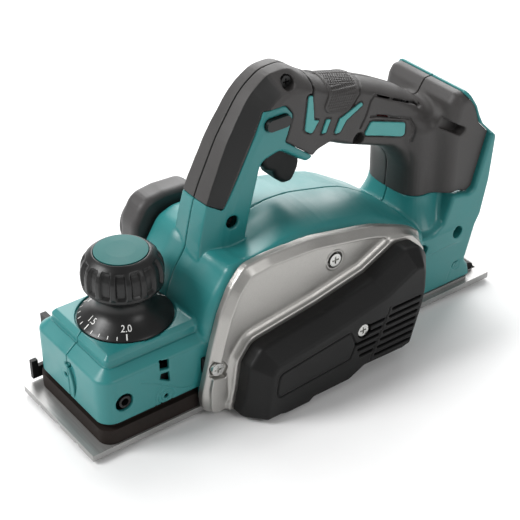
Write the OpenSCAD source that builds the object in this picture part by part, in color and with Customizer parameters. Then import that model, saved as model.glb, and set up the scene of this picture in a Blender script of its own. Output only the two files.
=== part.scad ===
// Cordless electric hand planer with an 82 mm cutter.
// The origin is the centre of the sole on the sole plane.
// +X is the planing direction, +Y is the belt side (the user's left), +Z is up.

/* [Sole] */
// Length of the sole, front shoe and rear base together
sole_len = 314; // [312:0.5:316]
// Width of the sole
sole_w = 82; // [82:0.2:83]
// Thickness of the sole plates
sole_t = 4.3; // [4:0.1:4.5]

/* [Cutter] */
// Distance of the drum axis in front of the sole's centre
drum_x = 37; // [36.5:0.1:37.5]
// Radius of the circle that the knife edges run on
cut_r = 27.8; // [27.5:0.1:28]
// Radius of the drum body
drum_r = 25; // [24.6:0.1:25.4]

/* [Motor] */
// Distance of the motor axis behind the sole's centre
motor_back = 43; // [42:0.5:44]
// Height of the motor axis above the sole
motor_z = 38; // [37.5:0.1:38.5]
// Radius of the motor stator
motor_r = 24; // [23:0.1:24.2]

/* [Body] */
// Half width of the front box
box_hw = 39.5; // [39.3:0.1:39.7]
// Wall thickness of the moulded shells
wall = 2.6; // [2.4:0.1:2.7]
// Half width of the handle
grip_hw = 18; // [17.5:0.1:18.5]

/* [Knob] */
// Radius of the dial skirt
dial_r = 29; // [27.5:0.5:29]
// Radius of the ribbed grip of the knob
knob_r = 24.6; // [23:0.1:25]
// Number of flutes around the knob
flutes = 16; // [12:1:18]

/* [Dust port] */
// Inner radius of the round outlet
port_r = 17.5; // [16:0.25:17.5]

/* [Hidden] */
$fn = 48;
eps = 0.05;
gap = 0.05;
front_x = sole_len / 2;
rear_x = -sole_len / 2;
sole_hw = sole_w / 2;
drum_z = cut_r;
motor_x = -motor_back;
mouth_r = cut_r + 1.5;
knob_x = front_x - 51.6;
box_front = front_x - 10;
platform_top = 58.4;
skirt_top = 22;
frame_z0 = 26.5;
frame_z1 = 38;
plate_in = 42.2;
plate_out = 51;
cover_out = 74;
shaft_r = 5;
motor_shaft_r = 4;
drum_bearing_r = 13;
motor_bearing_r = 11;
drum_pulley_r = 12;
motor_pulley_r = 15;
belt_t = 2.2;
belt_y0 = 55.5;
belt_w = 11;
insert_x = 131.5;
insert_z = 30;
stop_y = -43.5;
foot_x = -124;
foot_z = 9;
trigger_x = 8;
trigger_z = 145;
spindle_r = 7;
port_x = 47;
port_z = 73.2;
head_h = 2.6;

// ---------- shared shapes ----------

// A side outline in X and Z, drawn as X and Y, swept across the width from y0 to y1
module across(y0, y1) {
    translate([0, y1, 0]) rotate([90, 0, 0]) linear_extrude(y1 - y0) children();
}

// A round bar along +Y
module bar_y(x, y0, z, r, len) {
    translate([x, y0 + len, z]) rotate([90, 0, 0]) cylinder(r = r, h = len);
}

// A tube along +Y
module tube_y(x, y0, z, r_out, r_in, len) {
    difference() {
        bar_y(x, y0, z, r_out, len);
        bar_y(x, y0 - 1, z, r_in, len + 2);
    }
}

// A rectangle that is symmetric about the centre plane, with rounded corners
module round_rect(x0, x1, hw, r) {
    translate([x0 + r, -hw + r]) offset(r) square([x1 - x0 - 2 * r, 2 * hw - 2 * r]);
}

// A cross-head screw that points up: the top of its head is at the origin
module screw(head_r, shank_r, len) {
    difference() {
        union() {
            translate([0, 0, -head_h]) cylinder(r = head_r, h = head_h);
            translate([0, 0, -head_h - len]) cylinder(r = shank_r, h = len + eps);
        }
        for (turn = [0, 90]) {
            rotate(turn) cube([head_r * 1.2, head_r * 0.28, head_h], center = true);
        }
    }
}

// The same screw in the left side, driven along -Y, its head's face at y
module side_screw(x, y, z, head_r, shank_r, len) {
    translate([x, y, z]) rotate([-90, 0, 0]) screw(head_r, shank_r, len);
}

// A coil of round wire about +Z, its points worked out turn by turn
module coil(r, wire_r, height, turns) {
    steps = 20;
    sides = 6;
    rows = steps * turns;
    points = [
        for (i = [0 : rows], k = [0 : sides - 1])
            let (a = 360 * i / steps, b = 360 * k / sides, q = r + wire_r * cos(b))
            [q * cos(a), q * sin(a), height * i / rows + wire_r * sin(b)]
    ];
    skin = [
        for (i = [0 : rows - 1], k = [0 : sides - 1])
            let (n = (k + 1) % sides)
            [i * sides + k, i * sides + n, (i + 1) * sides + n, (i + 1) * sides + k]
    ];
    start = [for (k = [sides - 1 : -1 : 0]) k];
    end = [for (k = [0 : sides - 1]) rows * sides + k];
    polyhedron(points, concat([start], skin, [end]));
}

// ---------- outlines ----------

// The hump over the drum and the motor, seen from the side
module hump_outline(inset) {
    offset(delta = -inset) offset(8) offset(-8)
        polygon([[82, 6.6], [78, 36], [76.5, 56], [67, 81], [57, 96], [34, 99], [0, 98],
                 [-30, 93], [-60, 83], [-88, 72], [-96, 62], [-96, 6.6]]);
}

// The bright side plate
module plate_outline(inset) {
    offset(delta = -inset) offset(7) offset(-7)
        polygon([[84, 2], [84.5, 12], [75, 50], [67, 72], [54, 94], [38, 97], [8, 96.3],
                 [-20, 92.2], [-48, 85.5], [-79, 71.5], [-86, 62], [-81, 44], [-72, 8],
                 [-60, 2]]);
}

// The belt cover where it sits on the side plate
module cover_outline(inset) {
    offset(delta = -inset) offset(4) offset(-4)
        polygon([[65, 1], [61.5, 34], [52, 45], [4, 51], [-33, 58.6], [-58, 67.5], [-67, 64],
                 [-79, 50], [-66, 8], [-18, 8], [-6, 1]]);
}

// The part of the cover's outline between two places along X
module cover_part(inset, x0, x1) {
    intersection() {
        cover_outline(inset);
        translate([x0, -10]) square([x1 - x0, 100]);
    }
}

// ---------- the body ----------

// The front box, pulled in by inset
module front_box(inset) {
    hull() {
        translate([0, 0, 18 - 3 * inset]) linear_extrude(29 + 2.6 * inset)
            round_rect(60, box_front - inset, box_hw - inset, 10);
        translate([0, 0, 54 - inset]) linear_extrude(1)
            round_rect(60, box_front - 8 - inset, box_hw - 8 - inset, 6);
    }
}

// The raised platform under the knob
module knob_platform() {
    hull() {
        translate([0, 0, 54]) linear_extrude(1) round_rect(60, box_front - 8, 31, 4);
        translate([0, 0, platform_top - 0.5]) linear_extrude(0.5)
            round_rect(60, box_front - 12, 27, 3);
    }
}

// The hump with bevelled long edges, pulled in by inset
module hump(inset) {
    hull() {
        across(-38 + inset, 42 - inset) hump_outline(6 + inset);
        across(-32 + inset, 36 - inset) hump_outline(inset);
    }
}

// The rear of the body with the cheeks of the battery bay, pulled in by inset
module rear_block(inset) {
    across(-38 + inset, 38 - inset) offset(delta = -inset)
        polygon([[-80, 6.6], [-140.6, 6.6], [-137, 21], [-144.5, 46], [-148.5, 53],
                 [-154, 78], [-157, 109], [-146, 121], [-141, 137], [-138.5, 137],
                 [-141.5, 124.5], [-150.5, 112], [-139.5, 74], [-129, 68], [-118, 62],
                 [-80, 66]]);
}

// The sloped collar at the foot of the rear column
module collar() {
    hull() {
        translate([0, 0, 50]) linear_extrude(8) round_rect(-130, -91.5, 35, 12);
        translate([0, 0, 74]) linear_extrude(2) round_rect(-129, -97, 27, 12);
    }
}

// A disc across the handle with bevelled rims, used to draw the handle along its length
module handle_disc(x, z, r, hw) {
    translate([x, 0, z]) rotate([90, 0, 0]) {
        cylinder(r = r, h = 2 * (hw - 6), center = true, $fn = 28);
        cylinder(r = r - 5, h = 2 * hw, center = true, $fn = 28);
    }
}

// The D-handle: up the pillar, round the bend, and back to the rear column
module handle(inset) {
    stops = [[47, 86, 17], [36.5, 125, 15.5], [23, 152, 17], [-4, 171, 20.5],
             [-24, 158, 22], [-50, 148, 21.5], [-74, 140, 22], [-107, 124.5, 26]];
    for (i = [0 : len(stops) - 2]) {
        hull() {
            for (s = [stops[i], stops[i + 1]]) {
                handle_disc(s[0], s[1], s[2] - inset, grip_hw - inset);
            }
        }
    }
    across(-15 + inset, 15 - inset) offset(delta = -inset)
        polygon([[30, 155], [19, 136], [3, 141], [-16, 127.5], [-34, 131], [-30, 155]]);
}

// The rear column and the cap over the battery bay, pulled in by inset
module rear_column(inset) {
    intersection() {
        hull() {
            translate([0, 0, 64]) linear_extrude(64 - inset)
                round_rect(-130, -97.5 - inset, 24 - inset, 9);
            translate([0, 0, 64]) linear_extrude(78 - inset)
                round_rect(-155 + inset, -120 - inset, 34 - inset, 5);
            translate([0, 0, 140]) linear_extrude(11 - inset)
                round_rect(-142 + inset, -114 - inset, 20 - inset, 5);
        }
        across(-40, 40) offset(delta = -inset / 2)
            polygon([[-60, 60], [-118, 62.2], [-129, 68.2], [-139.4, 74.2], [-150.4, 112],
                     [-141.4, 124.5], [-138.4, 137], [-134, 160], [-60, 160]]);
    }
}

// The zone of the handle that belongs to the hard housing, seen from the side
module housing_zone() {
    polygon([[90, 60], [53.5, 121], [44, 116], [34.5, 134], [15, 171], [0, 170.5], [-5, 164],
             [-1, 152], [1, 148.5], [-19.5, 132], [-16, 127], [3, 140.5], [9, 139], [8, 60]]);
}

// A bar with the lock-off button's section, grown by grow
module lock_off_bar(grow, y0, y1) {
    across(y0, y1) offset(3.6 + grow) translate([1, 162.4]) square([10, 0.1]);
}

// Places of the housing screws: X, Z, outer face Y and depth of the recess
screw_sites = [[39, 107, 18, 5], [-4.7, 183, 16, 4], [-57.6, 130, 16, 4],
               [-127.5, 46.5, 38, 6], [-97, 43.3, 38, 6]];

// A boss for one housing screw
module screw_boss(s) {
    bar_y(s[0], 1 - s[2], s[1], 4.6, 2 * s[2] - 2);
}

// The hole for one housing screw, with its recess
module screw_hole(s) {
    bar_y(s[0], -12, s[1], 2.05, 60);
    bar_y(s[0], s[2] - s[3] - head_h, s[1], 4, 30);
}

// The open battery bay, with a rail left standing on each cheek
module battery_bay() {
    difference() {
        translate([-170, -33, 22]) cube([35, 66, 122]);
        for (side = [-1, 1]) {
            translate([-147, side * 32 - 3, 50]) cube([3, 6, 34]);
        }
    }
}

// What the inner and moving parts need kept free in the shells
module inner_space() {
    // The drum, which is wider than the shell
    bar_y(drum_x, -60, drum_z, cut_r + 2.2, 120);
    // The way of the chips out to the right
    translate([24, -50, 60]) cube([32, 25, 28]);
    // The ears of the front frame, and the shoe's skirt below them
    translate([68.5, -43, 27.4]) cube([10.2, 86, 10.8]);
    translate([0, 0, -1]) linear_extrude(skirt_top + 4)
        round_rect(52, box_front - wall + 0.1, box_hw - wall + 0.2, 8.3);
    // The shaft of the motor
    bar_y(motor_x, 20, motor_z, motor_bearing_r + 3.2, 40);
    // The spindle of the knob
    translate([knob_x, 0, 40]) cylinder(r = spindle_r + 1, h = 30);
    // The rear base's pad and the parking foot
    translate([-131, -33, 0]) cube([191.5, 66, 12]);
    translate([-160, 20.5, 0]) cube([42, 12, 18]);
    battery_bay();
    // The slot of the trigger, and its pin
    translate([-28, -9.8, 108]) cube([44, 19.6, 46]);
    bar_y(trigger_x, -15.5, trigger_z, 2.05, 31);
    // The lock-off button
    lock_off_bar(0.2, -30, 30);
    // The stud of the depth stop's knob
    bar_y(insert_x, -50, insert_z, 3.05, 20);
    // The screws of the side plates
    bar_y(-13, 20, 76.7, 2.05, 40);
    bar_y(2, -50, 40, 2.05, 30);
}

// The teal shell before it is cut into halves
module housing() {
    difference() {
        union() {
            difference() {
                union() {
                    front_box(0);
                    knob_platform();
                    hump(0);
                    rear_block(0);
                    collar();
                }
                front_box(wall);
                hump(wall);
                rear_block(wall);
                translate([0, 0, 56]) linear_extrude(40) round_rect(-126, -100.5, 20, 8);
                handle(wall);
            }
            intersection() {
                difference() {
                    handle(0);
                    handle(wall);
                    hump(wall);
                }
                across(-30, 30) housing_zone();
            }
            // The wall between the body and the battery bay
            translate([-136, -36, 14]) cube([3.6, 72, 50]);
            intersection() {
                for (s = screw_sites) screw_boss(s);
                translate([-200, -50, 0]) cube([400, 100, 120]);
            }
            bar_y(insert_x, 26, insert_z, 4.8, box_hw - 26.5);
            bar_y(-13, 28, 76.7, 4.6, 12);
            bar_y(2, -38, 40, 4.6, 12);
        }
        for (s = screw_sites) screw_hole(s);
        bar_y(insert_x, 25, insert_z, 4, 20);
        inner_space();
    }
}

// The left (side 1) or the right (side -1) half space, short of the joint face
module half_space(side) {
    translate([-200, side > 0 ? gap / 2 : -100, -10]) cube([400, 100 - gap / 2, 220]);
}

module housing_left() {
    color("#2f8f96") intersection() {
        housing();
        half_space(1);
    }
}

module housing_right() {
    color("#2f8f96") intersection() {
        housing();
        half_space(-1);
    }
}

// The black soft grip before it is cut into halves
module grip() {
    difference() {
        union() {
            difference() {
                handle(0);
                handle(wall);
                rear_column(wall);
                across(-30, 30) offset(delta = gap) housing_zone();
            }
            difference() {
                rear_column(0);
                rear_column(wall);
                handle(wall);
            }
            intersection() {
                for (s = screw_sites) screw_boss(s);
                translate([-200, -50, 121]) cube([400, 100, 100]);
            }
        }
        for (s = screw_sites) screw_hole(s);
        hump(-0.1);
        rear_block(-0.1);
        translate([0, 0, -0.1]) collar();
        collar();
        inner_space();
    }
}

module grip_left() {
    color("#26272b") intersection() {
        grip();
        half_space(1);
    }
}

module grip_right() {
    color("#26272b") intersection() {
        grip();
        half_space(-1);
    }
}

// Textured pads on both sides of the handle
module grip_pads() {
    color("#1b1c1f") for (side = [-1, 1]) {
        translate([-52, side * (grip_hw + 0.5), 155]) rotate([90, 18, 0])
            linear_extrude(0.9, center = true) offset(3) square([20, 8], center = true);
    }
}

// Teal slashes on both sides of the handle
module grip_accents() {
    color("#37a3a6") for (side = [-1, 1], i = [0 : 2]) {
        translate([-22 - 8 * i, side * (grip_hw + 0.4), 146 - 2.2 * i]) rotate([90, 0, 0])
            linear_extrude(0.7, center = true)
                polygon([[-3, -4], [0, -4], [3, 4], [0, 4]]);
    }
}

// The blank plate on the left side of the handle
module badge_plate() {
    color("#37a3a6") translate([-78, grip_hw + 0.5, 134]) rotate([90, 18, 0])
        linear_extrude(0.9, center = true) offset(2) square([24, 5], center = true);
}

module housing_screws() {
    color("#b9bcc0") for (s = screw_sites) {
        side_screw(s[0], s[2] - s[3], s[1], 3.6, 2, s[2] - s[3] + 8);
    }
}

// ---------- the sole, the front frame and the knob ----------

// Places of the guide pins
pin_sites = [for (x = [86, 120], y = [-26, 26]) [x, y]];

module front_frame() {
    color("#a9adb0") difference() {
        union() {
            translate([70, -34, frame_z0]) cube([56, 68, frame_z1 - frame_z0]);
            translate([70, -34, frame_z0 + 1]) cube([8.5, 76, frame_z1 - frame_z0 - 1]);
            translate([70, -38, frame_z0 + 1]) cube([8.5, 8, frame_z1 - frame_z0 - 1]);
            translate([knob_x, 0, frame_z0]) cylinder(r = 14, h = 24);
        }
        translate([knob_x, 0, 0]) cylinder(r = spindle_r + gap, h = 80);
        for (p = pin_sites) translate([p[0], p[1], 0]) cylinder(r = 4 + gap, h = 80);
        bar_y(74, 30, 33.6, 2.05, 20);
        bar_y(74, -45, 33.6, 2.05, 20);
    }
}

module front_shoe() {
    color("#c9ccce") difference() {
        union() {
            translate([drum_x, -sole_hw, 0])
                cube([front_x - drum_x, sole_w, sole_t]);
            translate([73, -31, 0]) cube([66, 62, 9]);
            translate([knob_x, 0, 0]) cylinder(r = 12, h = 12);
            for (p = pin_sites) translate([p[0], p[1], 0]) cylinder(r = 6.5, h = 15);
        }
        translate([knob_x, 0, 6]) cylinder(r = spindle_r + gap, h = 20);
        for (p = pin_sites) translate([p[0], p[1], 5]) cylinder(r = 4 + gap, h = 20);
        // The mouth follows the drum, and stays clear when the shoe is raised
        bar_y(drum_x, -60, drum_z, mouth_r, 120);
        bar_y(drum_x, -60, drum_z - 2, mouth_r, 120);
        translate([drum_x - 1, -60, -1]) cube([13, 120, 12]);
        // Chamfering grooves of three sizes along the underside
        for (g = [[-22, 1.2], [0, 2.2], [22, 1.7]]) {
            translate([40, g[0], 0]) rotate([45, 0, 0])
                translate([0, -g[1], -g[1]]) cube([130, 2 * g[1], 2 * g[1]]);
        }
    }
}

module front_skirt() {
    color("#1e1b1a") difference() {
        union() {
            translate([0, 0, sole_t + gap]) linear_extrude(skirt_top - sole_t)
                round_rect(68, box_front - 2.8, box_hw - 2.7, 8);
            // The foot of the skirt, flush with the box and clear of it when raised
            intersection() {
                translate([0, 0, sole_t + gap]) linear_extrude(10.2)
                    round_rect(60, box_front + 0.3, box_hw + 0.3, 8);
                translate([83, -50, 0]) cube([70, 100, 30]);
            }
        }
        translate([0, 0, 0]) linear_extrude(60)
            round_rect(70, box_front - 4.8, box_hw - 4.7, 6);
    }
}

module shoe_guide_pins() {
    color("#8f9396") for (p = pin_sites) {
        translate([p[0], p[1], 5.1]) cylinder(r = 4, h = 34);
    }
}

module depth_spindle() {
    color("#8f9396") difference() {
        translate([knob_x, 0, 8.5]) cylinder(r = spindle_r, h = 83);
        translate([knob_x, 0, 79]) cylinder(r = 2.45, h = 20);
    }
}

module depth_spring() {
    color("#9fa3a6") translate([knob_x, 0, 13.2]) coil(9.4, 0.9, 12, 4);
}

module depth_knob() {
    color("#1d1d20") difference() {
        translate([knob_x, 0, 0]) rotate_extrude($fn = 96)
            polygon([[spindle_r + gap, 58.7], [dial_r, 58.7], [dial_r, 60], [24, 63.5],
                     [18.5, 68], [16.5, 72.5], [16.8, 77], [21, 80], [23.8, 83.5],
                     [knob_r, 89], [23.6, 96], [20.5, 102], [17.2, 104.6], [16.2, 104.6],
                     [16.2, 96], [spindle_r + gap, 96]]);
        for (i = [0 : flutes - 1]) {
            translate([knob_x, 0, 84]) rotate(360 * (i + 0.5) / flutes)
                translate([knob_r + 0.6, 0, 0]) cylinder(r = 2.4, h = 14);
        }
    }
}

module knob_cap() {
    color("#3fb1ab") translate([knob_x, 0, 0]) rotate_extrude($fn = 96)
        polygon([[0, 103], [12, 103], [12, 97], [13.5, 97], [13.5, 102], [16, 102], [16, 105],
                 [9, 105.6], [0, 105.7]]);
}

module knob_screw() {
    color("#b9bcc0") translate([knob_x, 0, 99.2]) screw(9.5, 2.4, 14);
}

module rear_base() {
    color("#c9ccce") difference() {
        union() {
            translate([rear_x, -sole_hw, 0])
                cube([drum_x - rear_x, sole_w, sole_t]);
            translate([-139.5, -37.4, 0]) cube([139.5, 74.8, 6.5]);
            translate([-130, -32.5, 0]) cube([138, 65, 10.5]);
            for (y = [18.2, 31.2]) translate([foot_x - 5, y, 0]) cube([10, 1.7, 13.4]);
        }
        bar_y(drum_x, -60, drum_z, mouth_r, 120);
        translate([18, -60, -1]) cube([13, 120, 0.5]);
        translate([-70, -24, 7]) cube([60, 48, 10]);
        // The slot of the parking foot
        translate([-154.5, 20.8, -1]) cube([37.5, 10.4, 30]);
        bar_y(foot_x, 8, foot_z, 2.05, 30);
        translate([foot_x - 5, 10.5, 4.5]) cube([10, 7, 20]);
        for (p = base_screw_sites) {
            translate([p[0], p[1], -1]) cylinder(r = 2.1, h = 20);
            translate([p[0], p[1], -1]) cylinder(r = 4.2, h = 4.2);
        }
    }
}

// Places of the screws that hold the motor housing's feet
base_screw_sites = [for (x = [-60, -26], y = [-15, 4]) [x, y]];

module base_screws() {
    color("#77797c") for (p = base_screw_sites) {
        translate([p[0], p[1], 0.5]) rotate([180, 0, 0]) screw(4, 2, 12);
    }
}

// ---------- side plates, belt drive and cover ----------

module side_plate() {
    color("#c4c6c4") difference() {
        across(plate_in, plate_out) plate_outline(0);
        // The flat field inside the rim
        across(plate_out - 0.8, plate_out + 1) plate_outline(9);
        // The hollow back, with a boss around each bearing and each screw
        difference() {
            across(plate_in - 1, plate_out - 4) plate_outline(3.5);
            bar_y(drum_x, 30, drum_z, drum_bearing_r + 4, 40);
            bar_y(motor_x, 30, motor_z, motor_bearing_r + 4, 40);
            bar_y(74, 30, 33.6, 6, 40);
            bar_y(-13, 30, 76.7, 6, 40);
            bar_y(-18, 30, 35, 5, 40);
        }
        bar_y(drum_x, 30, drum_z, drum_bearing_r + gap, plate_out - 30.6);
        bar_y(drum_x, 30, drum_z, 9, 40);
        bar_y(motor_x, 30, motor_z, motor_bearing_r + gap, plate_out - 30.6);
        bar_y(motor_x, 30, motor_z, 7, 40);
        bar_y(74, 30, 33.6, 2.1, 40);
        bar_y(74, 47, 33.6, 5, 10);
        bar_y(-13, 30, 76.7, 2.1, 40);
        bar_y(-13, 48, 76.7, 4.6, 10);
        bar_y(-18, 41, 35, 2.05, 20);
    }
}

module side_plate_screws() {
    color("#2a2a2c") {
        side_screw(74, 47 + head_h, 33.6, 4.2, 2, 14);
        side_screw(-13, 48 + head_h, 76.7, 4.2, 2, 14);
    }
}

// The right plate, seen from the side
module right_outline(inset) {
    offset(delta = -inset) offset(6) offset(-6)
        polygon([[82, 7], [82, 30], [72, 50], [4, 50], [-4, 38], [-4, 7]]);
}

right_screw_sites = [[74, 33.6], [2, 40]];

module right_plate() {
    color("#a9adb0") difference() {
        across(-51.5, -38.2) right_outline(0);
        difference() {
            across(-46.5, -30) right_outline(3);
            bar_y(drum_x, -50, drum_z, drum_bearing_r + 4, 7.8);
            for (s = right_screw_sites) bar_y(s[0], -50, s[1], 5, 12);
        }
        bar_y(drum_x, -50.6, drum_z, drum_bearing_r + gap, 40);
        bar_y(drum_x, -42.2, drum_z, mouth_r, 10);
        translate([59, -box_hw - gap, 0]) cube([30, 5, 60]);
        for (s = right_screw_sites) {
            bar_y(s[0], -60, s[1], 2.1, 40);
            bar_y(s[0], -60, s[1], 4.6, 12);
        }
    }
}

module right_plate_screws() {
    color("#2a2a2c") for (s = right_screw_sites) {
        mirror([0, 1, 0]) side_screw(s[0], 48 + head_h, s[1], 4.2, 2, 12);
    }
}

// One knife seat's place: the second seat is half a turn from the first
module at_knife_seats() {
    for (turn = [0, 180]) {
        translate([drum_x, 0, drum_z]) rotate([0, turn, 0]) children();
    }
}

bolt_ys = [-30, -10, 10, 30];
knife_back = 5;
knife_t = 1.5;
knife_tip = sqrt(pow(cut_r, 2) - pow(knife_back + knife_t, 2));

module cutter_drum() {
    color("#9a9ea1") difference() {
        bar_y(drum_x, -40, drum_z, drum_r, 80);
        bar_y(drum_x, -60, drum_z, 7 + gap, 120);
        at_knife_seats() {
            translate([13, -60, -7]) cube([20, 120, 14]);
            for (y = bolt_ys) translate([9, y, 0]) rotate([0, 90, 0]) cylinder(r = 2.45, h = 10);
        }
    }
}

module drum_shaft() {
    color("#8f9396") {
        bar_y(drum_x, -41.5, drum_z, 7, 83.5);
        bar_y(drum_x, -50.5, drum_z, shaft_r, 118.5);
    }
}

module knives() {
    color("#d5d8da") at_knife_seats() {
        translate([14, -sole_hw, knife_back]) cube([knife_tip - 14, sole_w, knife_t]);
    }
}

module knife_clamps() {
    color("#6f7376") at_knife_seats() difference() {
        translate([13.1, -40, -6.9]) cube([10.4, 80, knife_back + 6.8]);
        for (y = bolt_ys) {
            translate([9, y, 0]) rotate([0, 90, 0]) cylinder(r = 2.45, h = 20);
            translate([19.5, y, 0]) rotate([0, 90, 0]) cylinder(r = 4.3, h = 20);
        }
    }
}

module knife_bolts() {
    color("#5a5d60") at_knife_seats() {
        for (y = bolt_ys) {
            translate([10, y, 0]) rotate([0, 90, 0]) cylinder(r = 2.4, h = 10);
            translate([19.6, y, 0]) rotate([0, 90, 0]) cylinder(r = 4, h = 3.6, $fn = 6);
        }
    }
}

// A ball bearing drawn as its two races and a shield between them
module bearing(x, y0, z, r_out, r_in, w) {
    difference() {
        tube_y(x, y0, z, r_out, r_in, w);
        for (y = [y0 - 1, y0 + w - 0.6]) {
            tube_y(x, y, z, r_out - 2, r_in + 2, 1.6);
        }
    }
}

module drum_bearings() {
    color("#b4b7ba") {
        bearing(drum_x, 42.4, drum_z, drum_bearing_r, shaft_r + gap, 8);
        bearing(drum_x, -50.5, drum_z, drum_bearing_r, shaft_r + gap, 8);
    }
}

// A ribbed belt pulley, its grooves cut around a bored disc
module ribbed_pulley(x, z, r, r_bore) {
    translate([x, belt_y0 + belt_w, z]) rotate([90, 0, 0]) rotate_extrude($fn = 64)
        difference() {
            union() {
                translate([r_bore, 0]) square([r - r_bore, belt_w]);
                translate([r_bore, -1.2]) square([r + 1.8 - r_bore, 1.2]);
                translate([r_bore, belt_w]) square([r + 1.8 - r_bore, 1.2]);
            }
            for (i = [0 : 3]) {
                translate([r, belt_w * (i + 0.5) / 4]) polygon([[0.1, -1], [-1.4, 0], [0.1, 1]]);
            }
        }
}

module drum_pulley() {
    color("#8a8e91") ribbed_pulley(drum_x, drum_z, drum_pulley_r, shaft_r);
}

module motor_pulley() {
    color("#8a8e91") ribbed_pulley(motor_x, motor_z, motor_pulley_r, motor_shaft_r);
}

module drive_belt() {
    color("#17171a") across(belt_y0 + 0.3, belt_y0 + belt_w - 0.3) difference() {
        hull() {
            translate([drum_x, drum_z]) circle(drum_pulley_r + 0.1 + belt_t);
            translate([motor_x, motor_z]) circle(motor_pulley_r + 0.1 + belt_t);
        }
        hull() {
            translate([drum_x, drum_z]) circle(drum_pulley_r + 0.1);
            translate([motor_x, motor_z]) circle(motor_pulley_r + 0.1);
        }
    }
}

// The cover's solid between two places along X, pulled in by inset
module cover_solid(inset, x0, x1) {
    hull() {
        across(plate_out + gap - inset, 70) cover_part(inset, x0, x1);
        across(plate_out + gap - inset, cover_out - inset) cover_part(5 + inset, x0, x1);
    }
}

module belt_cover() {
    color("#232427") difference() {
        union() {
            cover_solid(0, -7, 80);
            cover_solid(0, -100, -5);
        }
        difference() {
            union() {
                cover_solid(2.4, -7, 80);
                cover_solid(2.4, -100, -5);
            }
            bar_y(-18, 40, 35, 4.4, 40);
        }
        bar_y(-18, 40, 35, 2.1, 60);
        bar_y(-18, cover_out - 4, 35, 5, 10);
    }
}

module belt_cover_screw() {
    color("#c9ccce") side_screw(-18, cover_out - 4 + head_h, 35, 4, 2, 22);
}

// ---------- motor ----------

module motor_shaft() {
    color("#8f9396") bar_y(motor_x, -34, motor_z, motor_shaft_r, 102);
}

module motor_rotor() {
    color("#4c4f52") tube_y(motor_x, -20, motor_z, 12.4, motor_shaft_r, 36);
}

// The stator is a slotted ring with a winding in each slot
module motor_stator() {
    color("#a0603a") difference() {
        bar_y(motor_x, -21, motor_z, motor_r, 38);
        bar_y(motor_x, -30, motor_z, 13, 60);
        for (i = [0 : 5]) {
            translate([motor_x, -30, motor_z]) rotate([0, 60 * i, 0])
                translate([12, 0, -1.2]) cube([7, 60, 2.4]);
        }
    }
}

module motor_fan() {
    color("#2b2c2f") union() {
        tube_y(motor_x, 22, motor_z, 8, motor_shaft_r, 7);
        tube_y(motor_x, 22.3, motor_z, 22, 6.5, 1.5);
        for (i = [0 : 10]) {
            translate([motor_x, 23, motor_z]) rotate([0, 360 * i / 11, 0])
                translate([6.9, 0, -0.7]) rotate([0, 20, 0]) cube([13.5, 5.4, 1.4]);
        }
    }
}

module motor_bearings() {
    color("#b4b7ba") {
        bearing(motor_x, 43, motor_z, motor_bearing_r, motor_shaft_r + gap, 7);
        bearing(motor_x, -34, motor_z, motor_bearing_r, motor_shaft_r + gap, 7);
    }
}

module motor_housing() {
    color("#8f9396") difference() {
        union() {
            bar_y(motor_x, -29, motor_z, 27, 48);
            bar_y(motor_x, -35.2, motor_z, motor_bearing_r + 3, 8);
            translate([motor_x - 24, -20, 7.1]) cube([48, 32, 18]);
        }
        bar_y(motor_x, -24, motor_z, motor_r + gap, 60);
        bar_y(motor_x, -34.1, motor_z, motor_bearing_r + gap, 60);
        for (p = base_screw_sites) translate([p[0], p[1], 0]) cylinder(r = 2.05, h = 17);
    }
}

// ---------- chip path ----------

// The channel that leads the chips from the drum to the outlet
module chip_guide() {
    color("#2b2c2f") difference() {
        translate([21, -33, 59]) cube([35, 66, 29]);
        translate([23, -40, 50]) cube([31, 71, 36]);
    }
}

module chip_duct() {
    color("#2a2a2d") difference() {
        union() {
            intersection() {
                across(-58, -38.2) offset(12) offset(-12)
                    polygon([[21, 51.5], [74, 51.5], [74, 104], [24, 104]]);
                translate([0, 0, 0]) linear_extrude(200) offset(7)
                    translate([28, -51]) square([39, 30]);
            }
            bar_y(port_x, -66, port_z, port_r + 2.4, 10);
        }
        across(-55, -40.8) offset(8) offset(-8)
            polygon([[24, 54.5], [71, 54.5], [71, 101], [27, 101]]);
        // The window to the drum
        translate([24.6, -46, 60.6]) cube([30.8, 20, 26.8]);
        bar_y(port_x, -80, port_z, port_r, 25.5);
        bar_y(drum_x, -42.2, drum_z, mouth_r, 10);
    }
}

// ---------- electrics ----------

module controller_board() {
    color("#3a6b4a") union() {
        translate([-116, -28, 16]) cube([3, 56, 41]);
        for (y = [-20 : 10 : 20]) translate([-113.1, y - 3, 22]) cube([4, 6, 9]);
    }
}

module switch_body() {
    color("#232427") union() {
        translate([-42, -10, 154.2]) cube([33, 20, 15]);
        translate([-26, -4, 168]) cube([8, 8, 4]);
    }
}

module trigger() {
    color("#1f2023") difference() {
        across(-9, 9) offset(1.5) offset(-1.5)
            polygon([[14, 149], [12, 131], [6, 126.5], [2, 122], [-3, 114.5], [-10, 112],
                     [-15, 117], [-18, 124], [-17, 146], [-8, 149]]);
        bar_y(trigger_x, -20, trigger_z, 2.05, 40);
    }
}

module trigger_pin() {
    color("#8f9396") bar_y(trigger_x, -15.3, trigger_z, 1.99, 30.6);
}

module lock_off_button() {
    color("#17171a") lock_off_bar(0, -20.5, 20.5);
}

module terminal_block() {
    color("#232427") difference() {
        translate([-141, -16, 62]) cube([6, 32, 34]);
        for (y = [-10, 0, 10]) translate([-150, y - 0.7, 66]) cube([14, 1.4, 26]);
    }
}

module terminal_blades() {
    color("#c8a85a") for (y = [-10, 0, 10]) {
        translate([-146, y - 0.5, 68]) cube([9.5, 1, 22]);
    }
}

// A wire that follows a list of points
module wire(points, r) {
    for (i = [0 : len(points) - 2]) {
        hull() {
            translate(points[i]) sphere(r, $fn = 8);
            translate(points[i + 1]) sphere(r, $fn = 8);
        }
    }
}

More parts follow.
